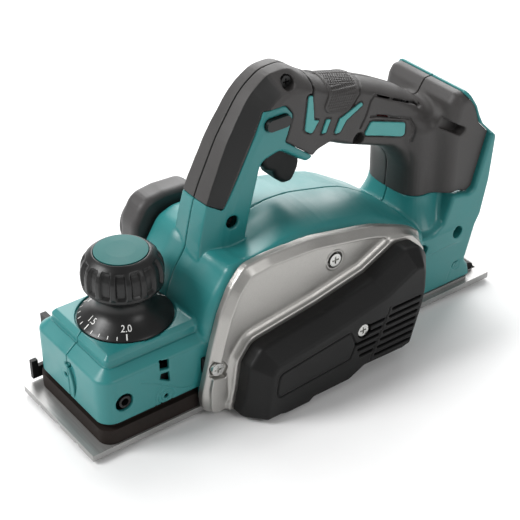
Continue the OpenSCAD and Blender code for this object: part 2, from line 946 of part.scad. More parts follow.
module wires() {
    color("#a03028") for (y = [-6, 6]) {
        wire([[-112, y, 66], [-112, y, 100], [-100, y, 122], [-60, y, 146], [-43.5, y, 160]], 1.4);
        wire([[-106, y, 52], [-90, y, 56], [-74, y, 52], [-71.5, y, 40]], 1.4);
    }
}

// ---------- parking foot, depth stop and guide insert ----------

module kickstand() {
    color("#1f2023") difference() {
        across(21.2, 30.8) hull() {
            translate([foot_x, foot_z]) circle(3.6);
            translate([-149.5, 6.8]) circle(2.6);
            translate([-148, 9]) circle(1.2);
        }
        bar_y(foot_x, 0, foot_z, 2.05, 60);
    }
}

module kickstand_pin() {
    color("#8f9396") bar_y(foot_x, 12, foot_z, 1.99, 20.8);
}

module kickstand_spring() {
    color("#9fa3a6") translate([foot_x, 12.6, foot_z]) rotate([-90, 0, 0]) coil(3, 0.45, 4, 4);
}

module depth_stop() {
    color("#1f2023") difference() {
        union() {
            translate([122, stop_y, 10]) cube([19, 3, 30]);
            translate([130, stop_y, 6.6]) cube([20.4, 3, 8]);
            translate([146.2, stop_y, 6.6]) cube([4.2, 3, 13]);
        }
        across(-50, -30) offset(3.2) translate([insert_x, 15]) square([0.1, 15.2]);
    }
}

module depth_stop_knob() {
    color("#1f2023") union() {
        bar_y(insert_x, -46.5, insert_z, 3, 11.5);
        bar_y(insert_x, -50.5, insert_z, 6.5, 6.8);
        translate([insert_x - 2, -56.5, insert_z - 10]) cube([4, 8, 20]);
    }
}

module fence_insert() {
    color("#b89a55") tube_y(insert_x, 26, insert_z, 3.95, 2.5, 12);
}

// ---------- assembly ----------

housing_left();
housing_right();
grip_left();
grip_right();
grip_pads();
grip_accents();
badge_plate();
housing_screws();
front_frame();
front_shoe();
front_skirt();
shoe_guide_pins();
depth_spindle();
depth_spring();
depth_knob();
knob_cap();
knob_screw();
rear_base();
base_screws();
side_plate();
side_plate_screws();
right_plate();
right_plate_screws();
cutter_drum();
drum_shaft();
knives();
knife_clamps();
knife_bolts();
drum_bearings();
drum_pulley();
drive_belt();
belt_cover();
belt_cover_screw();
motor_pulley();
motor_shaft();
motor_rotor();
motor_stator();
motor_fan();
motor_bearings();
motor_housing();
chip_guide();
chip_duct();
controller_board();
switch_body();
trigger();
trigger_pin();
lock_off_button();
terminal_block();
terminal_blades();
wires();
kickstand();
kickstand_pin();
kickstand_spring();
depth_stop();
depth_stop_knob();
fence_insert();
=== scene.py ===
# The looks of a cordless hand planer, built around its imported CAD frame.
# Shapes are worked out in millimetres in the frame's axes: +X is the planing direction,
# +Y is the belt side and +Z is up.
import math
import bpy
import numpy as np
import openvdb
from mathutils import Matrix, Vector


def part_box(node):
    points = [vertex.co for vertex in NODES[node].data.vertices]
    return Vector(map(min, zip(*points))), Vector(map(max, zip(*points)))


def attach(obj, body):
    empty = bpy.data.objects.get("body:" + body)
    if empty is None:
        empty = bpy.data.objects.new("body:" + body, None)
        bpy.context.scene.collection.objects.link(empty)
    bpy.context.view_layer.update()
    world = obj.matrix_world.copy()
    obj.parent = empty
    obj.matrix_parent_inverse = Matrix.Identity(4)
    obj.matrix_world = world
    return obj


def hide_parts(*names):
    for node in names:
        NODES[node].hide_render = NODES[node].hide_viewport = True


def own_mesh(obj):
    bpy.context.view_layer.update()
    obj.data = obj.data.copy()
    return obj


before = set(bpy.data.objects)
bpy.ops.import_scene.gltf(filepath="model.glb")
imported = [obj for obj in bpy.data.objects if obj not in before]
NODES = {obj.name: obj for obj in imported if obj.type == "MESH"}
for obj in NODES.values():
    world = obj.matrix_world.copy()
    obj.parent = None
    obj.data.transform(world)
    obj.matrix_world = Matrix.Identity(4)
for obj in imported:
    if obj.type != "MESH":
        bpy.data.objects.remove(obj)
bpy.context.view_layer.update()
MM = 0.001


# ---------- places taken from the frame ----------

def middle(node):
    """The centre of a CAD node's box, in millimetres."""
    low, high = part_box(node)
    return [round((a + b) / 2 / MM, 1) for a, b in zip(low, high)]


KNOB_X = middle("depth_knob")[0]
DRUM_X, _, DRUM_Z = middle("drum_shaft")
MOTOR_X, _, MOTOR_Z = middle("motor_shaft")
COVER_SCREW = middle("belt_cover_screw")[::2]

# The two screws of the side plate touch the corners of their node's box.
HEAD_RADIUS = 4.2
low_corner, high_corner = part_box("side_plate_screws")
FRONT_SCREW = (round(high_corner.x / MM - HEAD_RADIUS, 1), round(low_corner.z / MM + HEAD_RADIUS, 1))
TOP_SCREW = (round(low_corner.x / MM + HEAD_RADIUS, 1), round(high_corner.z / MM - HEAD_RADIUS, 1))


# ---------- distance fields ----------

class Grid:
    """A box of sample points. Each axis is a list of (start, spacing) stretches and its end."""

    def __init__(self, x, y, z):
        self.axes = [self.places(stops) for stops in (x, y, z)]
        self.step = max(spacing for stops in (x, y, z) for _, spacing in stops[:-1])
        self.x = self.axes[0][:, None, None]
        self.y = self.axes[1][None, :, None]
        self.z = self.axes[2][None, None, :]

    def places(self, stops):
        runs = [np.arange(stops[i][0], stops[i + 1][0], stops[i][1])
                for i in range(len(stops) - 1)]
        return np.concatenate(runs).astype(np.float32)


def even(low, high, spacing):
    """One evenly spaced axis."""
    return [(low, spacing), (high, 0)]


def rounded(points):
    """An outline whose corners (u, v, radius) are drawn as arcs."""
    out = []
    for i, p in enumerate(points):
        corner = np.array(p[:2], float)
        if len(p) < 3:
            out.append(tuple(corner))
            continue
        back = np.array(points[i - 1][:2], float) - corner
        ahead = np.array(points[(i + 1) % len(points)][:2], float) - corner
        reach = 0.49 * min(np.linalg.norm(back), np.linalg.norm(ahead))
        back /= np.linalg.norm(back)
        ahead /= np.linalg.norm(ahead)
        half = 0.5 * math.acos(max(-0.9999, min(0.9999, float(back @ ahead))))
        cut = min(p[2] / math.tan(half), reach)
        radius = cut * math.tan(half)
        centre = corner + (back + ahead) / np.linalg.norm(back + ahead) * radius / math.sin(half)
        first = corner + back * cut - centre
        last = corner + ahead * cut - centre
        start = math.atan2(first[1], first[0])
        turn = math.atan2(last[1], last[0]) - start
        turn = (turn + math.pi) % (2 * math.pi) - math.pi
        count = max(2, int(abs(turn) / 0.2) + 1)
        for k in range(count + 1):
            a = start + turn * k / count
            out.append((centre[0] + radius * math.cos(a), centre[1] + radius * math.sin(a)))
    return out


def outline(u, v, points):
    """Signed distance to a closed outline, negative inside."""
    points = rounded(points)
    best = np.full(np.broadcast(u, v).shape, 1e9, np.float32)
    inside = np.zeros(best.shape, bool)
    for (au, av), (bu, bv) in zip(points, points[1:] + points[:1]):
        eu, ev = bu - au, bv - av
        length = eu * eu + ev * ev
        if length < 1e-9:
            continue
        t = np.clip(((u - au) * eu + (v - av) * ev) / length, 0, 1)
        best = np.minimum(best, (u - au - eu * t) ** 2 + (v - av - ev * t) ** 2)
        if bv != av:
            crosses = (v >= av) != (v >= bv)
            inside ^= crosses & (u < eu * (v - av) / ev + au)
    return np.where(inside, -np.sqrt(best), np.sqrt(best)).astype(np.float32)


def path(u, v, points):
    """Distance to an open line through points."""
    best = np.full(np.broadcast(u, v).shape, 1e9, np.float32)
    for (au, av), (bu, bv) in zip(points, points[1:]):
        eu, ev = bu - au, bv - av
        t = np.clip(((u - au) * eu + (v - av) * ev) / (eu * eu + ev * ev), 0, 1)
        best = np.minimum(best, (u - au - eu * t) ** 2 + (v - av - ev * t) ** 2)
    return np.sqrt(best)


def both(a, b, r=0.0):
    """What two shapes share, its edge rounded by r."""
    if np.isscalar(r) and r == 0:
        return np.maximum(a, b)
    return np.minimum(np.maximum(a, b), -r) + np.sqrt(
        np.maximum(a + r, 0) ** 2 + np.maximum(b + r, 0) ** 2)


def either(a, b, r=0.0):
    """Two shapes together, the corner between them filled by r."""
    if r == 0:
        return np.minimum(a, b)
    return np.maximum(np.minimum(a, b), r) - np.sqrt(
        np.maximum(r - a, 0) ** 2 + np.maximum(r - b, 0) ** 2)


def without(a, b, r=0.0):
    """The first shape with the second cut away."""
    return both(a, -b, r)


def engrave(d, line, half_width, depth):
    """Cuts a groove of the given half width along a line, to depth below the surface."""
    return np.maximum(d, np.minimum(half_width - line, d + depth))


def rod_y(g, x, z, r):
    """An endless round bar along Y."""
    return np.sqrt((g.x - x) ** 2 + (g.z - z) ** 2) - r


def rod_z(g, x, y, r):
    """An endless round bar along Z."""
    return np.sqrt((g.x - x) ** 2 + (g.y - y) ** 2) - r


def block(g, x0, x1, y0, y1, z0, z1, r=0.0):
    """A box between two corners."""
    d = both(np.maximum(x0 - g.x, g.x - x1), np.maximum(y0 - g.y, g.y - y1), r)
    return both(d, np.maximum(z0 - g.z, g.z - z1), r)


def plan_rect(g, x0, x1, half_width, r):
    """A rounded rectangle seen from above, symmetric about the centre plane."""
    return outline(g.x, g.y, [(x0, -half_width, r), (x1, -half_width, r),
                              (x1, half_width, r), (x0, half_width, r)])


def smooth_step(a, b, t):
    """0 at a and 1 at b, with a soft ramp between and level ends; a may lie above b."""
    s = np.clip((t - a) / (b - a), 0, 1)
    return s * s * (3 - 2 * s)


# ---------- from a field to a piece ----------

def add_object(name, data):
    """Links new data into the scene as an object."""
    obj = bpy.data.objects.new(name, data)
    bpy.context.scene.collection.objects.link(obj)
    return obj


def add_mesh(name, points, faces):
    """A new mesh object in the scene."""
    mesh = bpy.data.meshes.new(name)
    mesh.from_pydata(points, [], faces)
    return add_object(name, mesh)


def decimate(obj, ratio):
    """Merges faces until the given share of them is left."""
    if ratio >= 1:
        return
    modifier = obj.modifiers.new("decimate", "DECIMATE")
    modifier.ratio = ratio
    graph = bpy.context.evaluated_depsgraph_get()
    mesh = bpy.data.meshes.new_from_object(obj.evaluated_get(graph))
    obj.modifiers.clear()
    old = obj.data
    obj.data = mesh
    bpy.data.meshes.remove(old)


def drop_crumbs(points, faces, fewest=60):
    """Leaves out loose scraps of surface with no more than the fewest corners."""
    parent = np.arange(len(points))
    edges = np.concatenate([faces[:, [i, (i + 1) % faces.shape[1]]]
                            for i in range(faces.shape[1])])
    while True:
        low = np.minimum(parent[edges[:, 0]], parent[edges[:, 1]])
        fresh = parent.copy()
        np.minimum.at(fresh, edges[:, 0], low)
        np.minimum.at(fresh, edges[:, 1], low)
        fresh = fresh[fresh]
        if np.array_equal(fresh, parent):
            break
        parent = fresh
    size = np.bincount(parent, minlength=len(points))
    return faces[size[parent[faces[:, 0]]] > fewest]


def piece(name, g, d, look, body="body", stands_for=(), ratio=0.35):
    """Turns a field into a smooth mesh that rides on a body."""
    solid = openvdb.FloatGrid(3.0)
    solid.copyFromArray(np.ascontiguousarray(np.clip(d / g.step, -3, 3), np.float32))
    points, _, quads = solid.convertToPolygons(0.0, 0.0)
    points = np.array(points)
    places = [np.interp(points[:, k], np.arange(len(g.axes[k])), g.axes[k]) for k in range(3)]
    points = np.stack(places, axis=1) * MM
    faces = drop_crumbs(points, np.array(quads)[:, ::-1])
    used, index = np.unique(faces, return_inverse=True)
    faces = index.reshape(faces.shape)
    obj = add_mesh(name, points[used].tolist(), faces.tolist())
    decimate(obj, ratio)
    settle(obj, look, body, stands_for)
    return obj


def settle(obj, look, body, stands_for=()):
    """Gives a new piece its finish, smooth shading, its body and the CAD nodes it stands for."""
    mesh = obj.data
    mesh.name = obj.name
    mesh.materials.clear()
    mesh.materials.append(look)
    mesh.polygons.foreach_set("use_smooth", [True] * len(mesh.polygons))
    mesh.update()
    weights = obj.modifiers.new("even shading", "WEIGHTED_NORMAL")
    weights.weight = 60
    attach(obj, body)
    if stands_for:
        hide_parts(*stands_for)


# ---------- finishes ----------

def map_range(tree, source, low, high, new_low=0.0, new_high=1.0):
    """Maps low to high of a node's output onto a new range."""
    node = tree.nodes.new("ShaderNodeMapRange")
    node.inputs["From Min"].default_value = low
    node.inputs["From Max"].default_value = high
    node.inputs["To Min"].default_value = new_low
    node.inputs["To Max"].default_value = new_high
    tree.links.new(source, node.inputs["Value"])
    return node.outputs["Result"]


def finish(name, colour, rough, metallic=0.0, grain=0.0, size=0.6, stretch=(1, 1, 1),
           mottle=0.05, spread=0.06, gloss=0.5):
    """A procedural finish: colour and roughness wander a little over a fine relief.

    grain is the height of the relief in millimetres and size is the width of one bump.
    """
    made = bpy.data.materials.new(name)
    made.use_nodes = True
    tree = made.node_tree
    shader = tree.nodes["Principled BSDF"]
    place = tree.nodes.new("ShaderNodeTexCoord")
    scale = tree.nodes.new("ShaderNodeMapping")
    scale.inputs["Scale"].default_value = stretch
    tree.links.new(place.outputs["Object"], scale.inputs["Vector"])

    def noise(per_metre, detail):
        node = tree.nodes.new("ShaderNodeTexNoise")
        node.inputs["Scale"].default_value = per_metre
        node.inputs["Detail"].default_value = detail
        tree.links.new(scale.outputs["Vector"], node.inputs["Vector"])
        return node.outputs["Fac"]

    def remap(source, low, high):
        return map_range(tree, source, 0.3, 0.7, low, high)

    wide = noise(45, 3)
    fine = noise(1000 / size, 2)
    tint = tree.nodes.new("ShaderNodeMix")
    tint.data_type = "RGBA"
    tint.inputs["A"].default_value = [c * (1 - mottle) for c in colour] + [1]
    tint.inputs["B"].default_value = [min(1, c * (1 + mottle)) for c in colour] + [1]
    blend = tree.nodes.new("ShaderNodeMath")
    blend.operation = "MULTIPLY_ADD"
    tree.links.new(remap(fine, 0, 0.5), blend.inputs[0])
    blend.inputs[1].default_value = 1.0
    tree.links.new(remap(wide, 0, 0.5), blend.inputs[2])
    tree.links.new(blend.outputs[0], tint.inputs["Factor"])
    tree.links.new(tint.outputs["Result"], shader.inputs["Base Color"])
    tree.links.new(remap(wide, rough - spread, rough + spread), shader.inputs["Roughness"])
    shader.inputs["Metallic"].default_value = metallic
    shader.inputs["Specular IOR Level"].default_value = gloss
    if grain > 0:
        bump = tree.nodes.new("ShaderNodeBump")
        bump.inputs["Strength"].default_value = 1.0
        bump.inputs["Distance"].default_value = grain * MM
        tree.links.new(fine, bump.inputs["Height"])
        tree.links.new(bump.outputs["Normal"], shader.inputs["Normal"])
    return made


def paint_facet_shade(made):
    """Paints shade into the colour of the bevel beside the front strip of the handle: a deeper black
    where the surface faces sideways and forwards near the front.
    """
    tree = made.node_tree
    shader = tree.nodes["Principled BSDF"]
    base = shader.inputs["Base Color"].links[0].from_socket
    place = tree.nodes.new("ShaderNodeTexCoord")
    split = tree.nodes.new("ShaderNodeSeparateXYZ")
    tree.links.new(place.outputs["Object"], split.inputs["Vector"])

    def maths(kind, *sources):
        node = tree.nodes.new("ShaderNodeMath")
        node.operation = kind
        for socket, source in zip(node.inputs, sources):
            tree.links.new(source, socket)
        return node.outputs[0]

    facing = tree.nodes.new("ShaderNodeSeparateXYZ")
    normal = tree.nodes.new("ShaderNodeNewGeometry")
    tree.links.new(normal.outputs["Normal"], facing.inputs["Vector"])
    across = maths("ABSOLUTE", facing.outputs["Y"])
    sideways = map_range(tree, across, 0.35, 0.5)
    forwards = map_range(tree, facing.outputs["X"], 0.12, 0.25)
    at_front = map_range(tree, split.outputs["X"], -14 * MM, 8 * MM)
    facet_shade_mask = maths("MULTIPLY", maths("MULTIPLY", sideways, forwards), at_front)
    tint = tree.nodes.new("ShaderNodeMix")
    tint.data_type = "RGBA"
    tree.links.new(facet_shade_mask, tint.inputs["Factor"])
    tree.links.new(base, tint.inputs["A"])
    # painted shade: near black that stands in for the shade on the bevel facets, not a different
    # grip colour
    tint.inputs["B"].default_value = (0.006, 0.006, 0.006, 1)
    tree.links.new(tint.outputs["Result"], shader.inputs["Base Color"])


TEAL = finish("teal moulding", (0.022, 0.200, 0.200), 0.36, grain=0.02, size=0.5)
TEAL_TRIM = finish("teal trim", (0.050, 0.310, 0.300), 0.34, grain=0.01, size=0.5)
TEAL_CAP = finish("teal cap", (0.016, 0.120, 0.115), 0.58, grain=0.03, size=0.4, gloss=0.25)
GRIP = finish("soft grip", (0.040, 0.037, 0.036), 0.52, grain=0.07, size=0.5, mottle=0.25)
# painted shade on the grip's front bevel facets
paint_facet_shade(GRIP)
BLACK = finish("black moulding", (0.009, 0.009, 0.009), 0.46, grain=0.05, size=0.5, mottle=0.2,
               gloss=0.22)
KNOB = finish("black knob", (0.008, 0.008, 0.008), 0.34, grain=0.02, size=0.5, mottle=0.2,
              gloss=0.4)
SKIRT = finish("brown black skirt", (0.018, 0.013, 0.011), 0.6, grain=0.05, size=0.5, mottle=0.3,
               gloss=0.15)
DUCT = finish("grey black moulding", (0.045, 0.042, 0.042), 0.5, grain=0.05, size=0.5,
              mottle=0.15)
CAST = finish("cast aluminium", (0.44, 0.43, 0.41), 0.36, 0.85, grain=0.07, size=0.5, mottle=0.1)
# painted shade: the aluminium front frame is near black so that its ear in the notch beside the
# plate reads as shadow
PAINTED_SHADE_CAST = finish("casting painted as shade", (0.02, 0.02, 0.02), 0.6, 0.2, grain=0.05, size=0.5)
SOLE = finish("machined sole", (0.36, 0.356, 0.35), 0.40, 0.6, grain=0.06, size=0.9,
              stretch=(1, 0.04, 1), mottle=0.16, spread=0.1)
OXIDE = finish("black oxide", (0.010, 0.010, 0.010), 0.36, 0.2, grain=0.02, size=0.4, gloss=0.4)
STEEL = finish("bright steel", (0.62, 0.62, 0.60), 0.26, 1.0, grain=0.01, size=0.5)
DARK_STEEL = finish("dark steel", (0.05, 0.05, 0.05), 0.3, 0.9, grain=0.02, size=0.4)
GREY_STEEL = finish("grey steel", (0.34, 0.34, 0.34), 0.36, 1.0, grain=0.02, size=0.5)
BLADE = finish("ground blade", (0.72, 0.72, 0.72), 0.2, 1.0, grain=0.01, size=0.5,
               stretch=(1, 0.05, 1), mottle=0.1)
RUBBER = finish("belt rubber", (0.012, 0.012, 0.012), 0.7, grain=0.05, size=0.4, mottle=0.2)
COPPER = finish("copper winding", (0.55, 0.22, 0.09), 0.36, 0.8, grain=0.08, size=0.5)
BRASS = finish("brass", (0.62, 0.42, 0.17), 0.3, 1.0, grain=0.01, size=0.5)
BOARD = finish("circuit board", (0.02, 0.14, 0.06), 0.4, grain=0.03, size=0.6, mottle=0.2)
WIRE = finish("wire jacket", (0.35, 0.02, 0.015), 0.45, grain=0.01, size=0.5)
WHITE = finish("white print", (0.80, 0.80, 0.78), 0.5, grain=0.01, size=0.4)

NODE_FINISH = {
    TEAL: "housing_left housing_right",
    TEAL_TRIM: "grip_accents badge_plate",
    TEAL_CAP: "knob_cap",
    GRIP: "grip_left grip_right grip_pads",
    DUCT: "chip_duct",
    BLACK: "belt_cover kickstand depth_stop depth_stop_knob trigger chip_guide "
           "switch_body terminal_block motor_fan",
    KNOB: "depth_knob lock_off_button",
    SKIRT: "front_skirt",
    CAST: "side_plate right_plate motor_housing",
    # painted shade: the front frame carries the near-black finish that stands in for the shadow in
    # the notch
    PAINTED_SHADE_CAST: "front_frame",
    SOLE: "front_shoe rear_base",
    STEEL: "knob_screw base_screws belt_cover_screw side_plate_screws right_plate_screws",
    GREY_STEEL: "shoe_guide_pins depth_spindle depth_spring drum_shaft motor_shaft cutter_drum "
                "drum_bearings motor_bearings drum_pulley motor_pulley motor_rotor "
                "kickstand_pin kickstand_spring trigger_pin knife_clamps",
    DARK_STEEL: "knife_bolts",
    OXIDE: "housing_screws fence_insert",
    BLADE: "knives",
    RUBBER: "drive_belt",
    COPPER: "motor_stator",
    BRASS: "terminal_blades",
    BOARD: "controller_board",
    WIRE: "wires",
}


def dress_cad_nodes():
    """Finishes every CAD node and breaks its sharp edges."""
    for made, names in NODE_FINISH.items():
        for name in names.split():
            obj = NODES[name]
            if not obj.data.materials:
                obj.data.materials.append(made)
            for slot in obj.material_slots:
                slot.link = "OBJECT"
                slot.material = made
            bevel = obj.modifiers.new("edge", "BEVEL")
            bevel.width = 0.35 * MM
            bevel.segments = 2
            bevel.limit_method = "ANGLE"
            bevel.angle_limit = math.radians(40)
            bevel.harden_normals = True


# ---------- the body ----------

WALL = 2.6
HALF_SEAM = 0.08
BOX_FRONT = 147
BOX_TOP = 55.4
STEP_TOP = 60.2
BOX_FOOT = 18
FOOT = 6.6
BELOW_ALL = -9

# Housing screws: x, z, the half width of the body there and the depth of the recess.
SCREWS = [(39, 107, 18, 5), (-4.7, 183, 16, 4), (-57.6, 130, 16, 4),
          (-127.5, 46.5, 38, 6), (-97, 43.3, 38, 6)]

# Outlines seen from the left: x, z and, where a corner is round, its radius.
HUMP = [(82, 6.6, 3), (80, 28), (76.5, 44, 20), (76, 58, 20), (68.5, 78, 30), (58.5, 93.5, 12),
        (48, 97.3, 14), (20, 97.4, 40), (-14, 95.6, 60), (-54, 86, 60), (-86, 67, 12),
        (-96, 58, 4), (-96, 6.6)]
CHEEK = [(-80, 6.6), (-143, 6.6, 2), (-140.6, 16, 2), (-137, 21, 4), (-144.5, 46, 6),
         (-148.5, 53, 6), (-154, 78, 30), (-157, 109, 1.5), (-146.5, 120, 6), (-141, 134, 8),
         (-133, 146, 3), (-131, 144.5, 1), (-138.5, 134, 6), (-143.5, 121, 6),
         (-152, 112.3, 2), (-140.7, 75.2, 4), (-136.3, 72.8, 4), (-129.4, 74.6, 3),
         (-122, 75.7, 3), (-118.4, 66, 8), (-114.6, 57, 6), (-106, 52.5, 4), (-80, 52)]
CONTOUR = [(60, 40), (62.6, 88, 60), (54.4, 122, 80), (37.6, 156, 80), (20.5, 181, 50),
           (6, 190.2, 18), (-9, 190.8, 14), (-20, 183, 16), (-36, 173.6, 30), (-60, 167.7, 60),
           (-80, 159, 60), (-99, 149, 40), (-122, 131, 10), (-122, 40)]
HAND = [(29.5, 60), (28, 94), (24, 111, 60), (19, 129, 30), (16.5, 138.5, 6), (3.5, 141.6, 7),
        (-15.8, 127.4, 1), (-19.8, 128, 1), (-26, 132, 6), (-36, 131.5, 6), (-49, 125.5, 20),
        (-69, 118, 20), (-84, 112.5, 14), (-99.5, 97, 12), (-97.5, 79), (-94, 60)]
TEAL_ZONE = [(90, 60), (55, 121.5), (44.6, 116.2, 1.5), (34.5, 134), (14.6, 171, 1.5),
             (0, 171.5, 4), (-5.8, 164, 3), (-2, 152), (0.2, 147.8, 1.5), (-22.4, 129.8, 0.5),
             (-17, 122), (3, 136), (9, 130), (8, 60)]
LID = [(-118, 60), (-119, 128, 10), (-121.5, 139, 6), (-125.5, 144.8, 4), (-131.6, 145, 3),
       (-180, 145), (-180, 60)]
SIDE_SLOT = [(-108.7, 135.3, 2), (-133.7, 120, 3), (-127.9, 116.5, 3), (-109, 127, 3)]
TICK = [(-17, 172.5, 1), (-20.2, 171.5, 1), (-21.6, 155), (-25.6, 153.4, 0.5), (-19.6, 146.4, 2),
        (-14.2, 150.4, 2)]
SLASH = [(-27.6, 143.6), (-31, 143.4), (-34.6, 151.4), (-31.4, 152.2)]
LAST = [(-37.6, 140.2, 1), (-41.8, 139.8, 2), (-46.6, 146.6), (-59.8, 153.2, 1), (-58, 155.4, 1),
        (-44, 150, 1), (-41.6, 149.4)]
BADGE = [(-61.2, 131.6, 1.5), (-66.6, 139.4, 2), (-94, 130.6, 2.5), (-93.8, 120.6, 2.5)]
BAY = [(-118, 60), (-119, 128, 10), (-121.5, 139, 6), (-125.5, 144.8, 4), (-131.6, 145, 3),
       (-138.4, 134.6, 6), (-143.6, 121, 5), (-152, 112.3, 2), (-140.7, 75.2, 2), (-139, 60)]


def box_solid(g, inset, floor):
    """The front box: upright walls, a bevel and a roof, all following one plan."""
    plan = plan_rect(g, 50, BOX_FRONT - inset, 39.4 - inset, 10 - inset * 0.8)
    bevel = 0.636 * plan + 0.772 * (g.z - 48 + inset * 0.25)
    d = both(both(plan, bevel, 0.8), g.z - BOX_TOP + inset, 0.5)
    if inset == 0:
        foot = plan_rect(g, 50, 138.6, 32, 3)
        d = engrave(d, np.abs(foot - 0.5), 0.45, 0.7)
        step = both(both(foot, 0.707 * (foot + g.z - BOX_TOP - 2)), g.z - STEP_TOP)
        dial = both(rod_z(g, KNOB_X, 0, 30), 58.4 - g.z)
        d = either(d, without(step, dial, 0.4))
    return both(d, floor - g.z, 0.4)


def hump_solid(g, inset, floor):
    """The hump over the drum and the motor, crowned, and lower left of the handle's foot."""
    crown = 4.5 * (1 - ((g.y - 2) / 40) ** 2) * smooth_step(40, 85, g.z)
    low = smooth_step(-14, 10, g.y) * (1 - 0.5 * smooth_step(20, 42, g.y))
    depth = (5.8 + 4 * smooth_step(58, 42, g.x)) * smooth_step(-4, 38, g.x)
    crown = crown - depth * low * smooth_step(60, 88, g.z)
    side = outline(g.x, g.z, HUMP) - crown + inset
    d = both(side, np.abs(g.y - 2) - 40 + inset, 7 - inset)
    return both(d, floor - g.z, 0.5)


def rear_solid(g, inset, floor):
    """The rear of the body and the cheeks of the battery bay, narrowing up to the cap."""
    half_width = np.interp(g.z, [0, 110, 126, 200], [38, 38, 34.8, 34.8]).astype(np.float32)
    d = both(outline(g.x, g.z, CHEEK) + inset, np.abs(g.y) - half_width + inset,
             2.6 - inset * 0.6)
    d = np.where(g.z > 112, both(d, cap_solid(g) - 0.9), d)
    return both(d, floor - g.z, 0.5)


def collar_solid(g, inset):
    """The flared collar around the foot of the rear column."""
    flare = 9 * np.clip((75.5 - g.z) / 21, 0, 1.2) ** 1.6
    plan = plan_rect(g, -134, -97.2, 25.6, 12)
    d = both(plan - flare + inset, g.z - 75.6, 0.5)
    return both(d, 40 - g.z)


def handle_solid(g):
    """The D-handle: a faceted front, flat sides and a rounder grip."""
    y = np.abs(g.y)
    edge = np.interp(g.z, [80, 130, 190], [13.6, 12, 8.5]).astype(np.float32)
    steep = np.maximum(y - edge, 0) * 10.8 / (17.2 - edge)
    facet = 0.06 * y + steep + 3 * np.maximum(y - 17.2, 0)
    oval = 13 * (1 - np.sqrt(1 - np.clip(y / 19.5, 0, 0.995) ** 2))
    top = smooth_step(6, -22, g.x)
    front = outline(g.x, g.z, CONTOUR) + facet * (1 - top) + oval * top
    under = np.interp(y, [0, 10, 18, 30], [0, 0.4, 5, 17]).astype(np.float32)
    soft = 9 * (1 - np.sqrt(1 - np.clip(y / 19.5, 0, 0.995) ** 2))
    grip = smooth_step(-24, -38, g.x)
    back = -outline(g.x, g.z, HAND) + under * 0.35 * (1 - grip) + soft * grip
    waist = 18 - 1.2 * smooth_step(-10, -30, g.x) * smooth_step(-95, -70, g.x)
    return both(both(front, y - waist, 1.2), back, 1.4)


def cap_solid(g):
    """The lid over the battery bay, open towards the rear."""
    return both(outline(g.x, g.z, LID), np.abs(g.y) - 34, 8)


def column_solid(g):
    """The rear column and the wide cap over the battery bay."""
    column = both(plan_rect(g, -140, -97.6, 24.8, 11), g.z - 128, 8)
    column = both(column, 60 - g.z)
    return either(column, both(cap_solid(g), outline(g.x, g.z, BAY)), 9)


def cuts(g):
    """What the moving and inner parts need kept free in the shells."""
    rooms = {
        "drum": rod_y(g, DRUM_X, DRUM_Z, 30),
        "chips": block(g, 24, 56, -50, -25, 60, 88),
        "front frame": block(g, 69, 79, -43, 43, 27, 38.4),
        "skirt": both(plan_rect(g, 40, 144.6, 37.2, 8.4), g.z - 24.2),
        "motor bearing": both(rod_y(g, MOTOR_X, MOTOR_Z, 14.2), 20 - g.y),
        "spindle": both(rod_z(g, KNOB_X, 0, 8), 40 - g.z),
        "rear base": block(g, -131, 60.5, -33, 33, -4, 12),
        "parking foot": block(g, -160, -118, 20.5, 32.5, -4, 18),
        "battery": block(g, -180, -135, -32.4, 32.4, 22, 170),
        "switch": block(g, -24, 16, -9.9, 9.9, 108, 154),
        "lock-off button": path(g.x, g.z, [(1, 162.4), (11, 162.4)]) - 3.9,
    }
    d = np.float32(1e3)
    for room in rooms.values():
        d = either(d, room)
    return d


def screw_wells(g, side):
    """The recesses of the housing screws."""
    d = np.float32(1e3)
    for x, z, face, depth in SCREWS:
        d = either(d, both(rod_y(g, x, z, 4.3), (face - depth - 2.8) - side * g.y))
    return d


def screw_tubes(g, solid):
    """The tubes inside a shell that hold the housing screws."""
    d = np.float32(1e3)
    for x, z, face, depth in SCREWS:
        d = either(d, both(rod_y(g, x, z, 6.4), (face - depth - 5) - np.abs(g.y)))
    return both(d, solid + 0.5)


